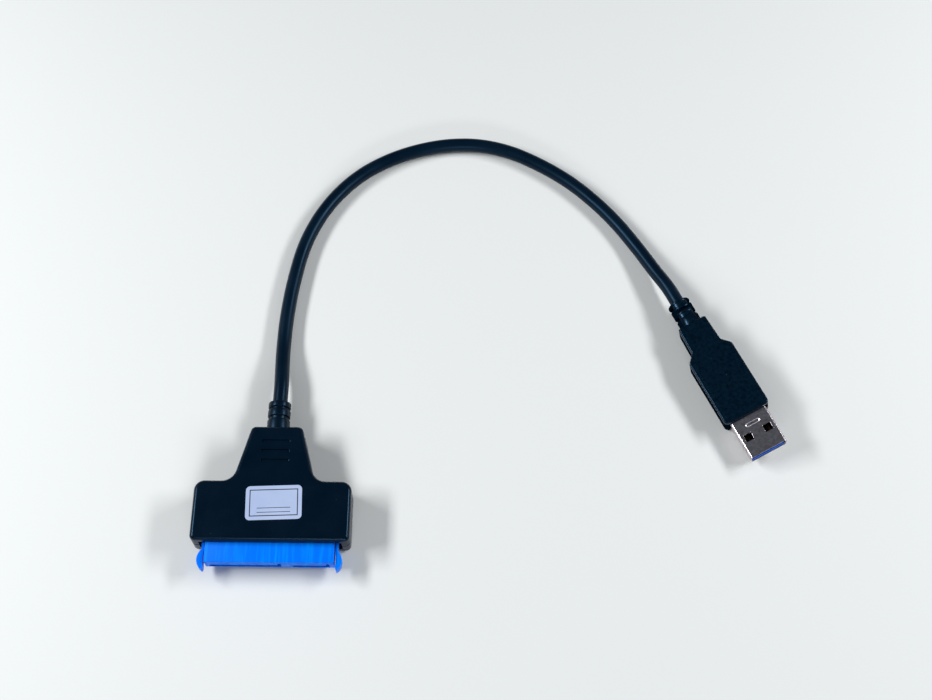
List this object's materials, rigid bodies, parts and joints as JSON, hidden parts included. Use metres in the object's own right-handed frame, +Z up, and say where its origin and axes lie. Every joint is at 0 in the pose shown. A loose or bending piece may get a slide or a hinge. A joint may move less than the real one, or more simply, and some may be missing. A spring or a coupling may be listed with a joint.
{
  "type": "usb to sata adapter",
  "caption": "Flat plastic head with a blue SATA receptacle at its front, joined by a short round cable to an overmoulded USB plug with a metal shell.",
  "frame": {"origin": "on the surface that the head rests on, under the middle of the head measured from the tips of its guide ears to the end of its strain relief", "axes": "+Z up; -Y is the way the SATA receptacle mates; +Y is the way the cable leaves; +X is to the right when looking from the mouth towards the cable"},
  "size_m": [0.176, 0.1522, 0.0108],
  "materials": {
    "shell_black": "moulded black ABS, satin with fine spark texture",
    "receptacle_blue": "moulded blue LCP, smooth",
    "contact_gold": "gold-plated stamped copper alloy",
    "board_green": "glass-fibre laminate under green solder mask",
    "chip_black": "moulded epoxy",
    "crystal_can": "nickel-plated can",
    "capacitor_tan": "fired ceramic chip",
    "label_white": "pale coated sticker",
    "relief_black": "soft moulded PVC",
    "cable_black": "extruded PVC jacket, satin",
    "core_insulation": "extruded coloured insulation",
    "grip_black": "overmoulded PVC, fine grain",
    "shell_steel": "nickel-plated folded steel",
    "insert_blue": "moulded blue PBT"
  },
  "bodies": {
    "root": {"upper_shell": "shell_black", "lower_shell": "shell_black", "sata_receptacle": "receptacle_blue", "signal_contact_1": "contact_gold", "signal_contact_2": "contact_gold", "signal_contact_3": "contact_gold", "signal_contact_4": "contact_gold", "signal_contact_5": "contact_gold", "signal_contact_6": "contact_gold", "signal_contact_7": "contact_gold", "power_contact_1": "contact_gold", "power_contact_2": "contact_gold", "power_contact_3": "contact_gold", "power_contact_4": "contact_gold", "power_contact_5": "contact_gold", "power_contact_6": "contact_gold", "power_contact_7": "contact_gold", "power_contact_8": "contact_gold", "power_contact_9": "contact_gold", "power_contact_10": "contact_gold", "power_contact_11": "contact_gold", "power_contact_12": "contact_gold", "power_contact_13": "contact_gold", "power_contact_14": "contact_gold", "power_contact_15": "contact_gold", "usb_contact_1": "contact_gold", "usb_contact_2": "contact_gold", "usb_contact_3": "contact_gold", "usb_contact_4": "contact_gold", "superspeed_contact_1": "contact_gold", "superspeed_contact_2": "contact_gold", "superspeed_contact_3": "contact_gold", "superspeed_contact_4": "contact_gold", "superspeed_contact_5": "contact_gold", "circuit_board": "board_green", "bridge_chip": "chip_black", "flash_chip": "chip_black", "regulator": "chip_black", "inductor": "chip_black", "crystal": "crystal_can", "capacitor_1": "capacitor_tan", "capacitor_2": "capacitor_tan", "capacitor_3": "capacitor_tan", "capacitor_4": "capacitor_tan", "label": "label_white", "strain_relief": "relief_black", "cable": "cable_black", "wire_1": "core_insulation", "wire_2": "core_insulation", "wire_3": "core_insulation", "wire_4": "core_insulation", "wire_5": "core_insulation", "wire_6": "core_insulation", "wire_7": "core_insulation", "wire_8": "core_insulation", "plug_grip": "grip_black", "plug_shell": "shell_steel", "plug_insert": "insert_blue"}
  },
  "joints": []
}
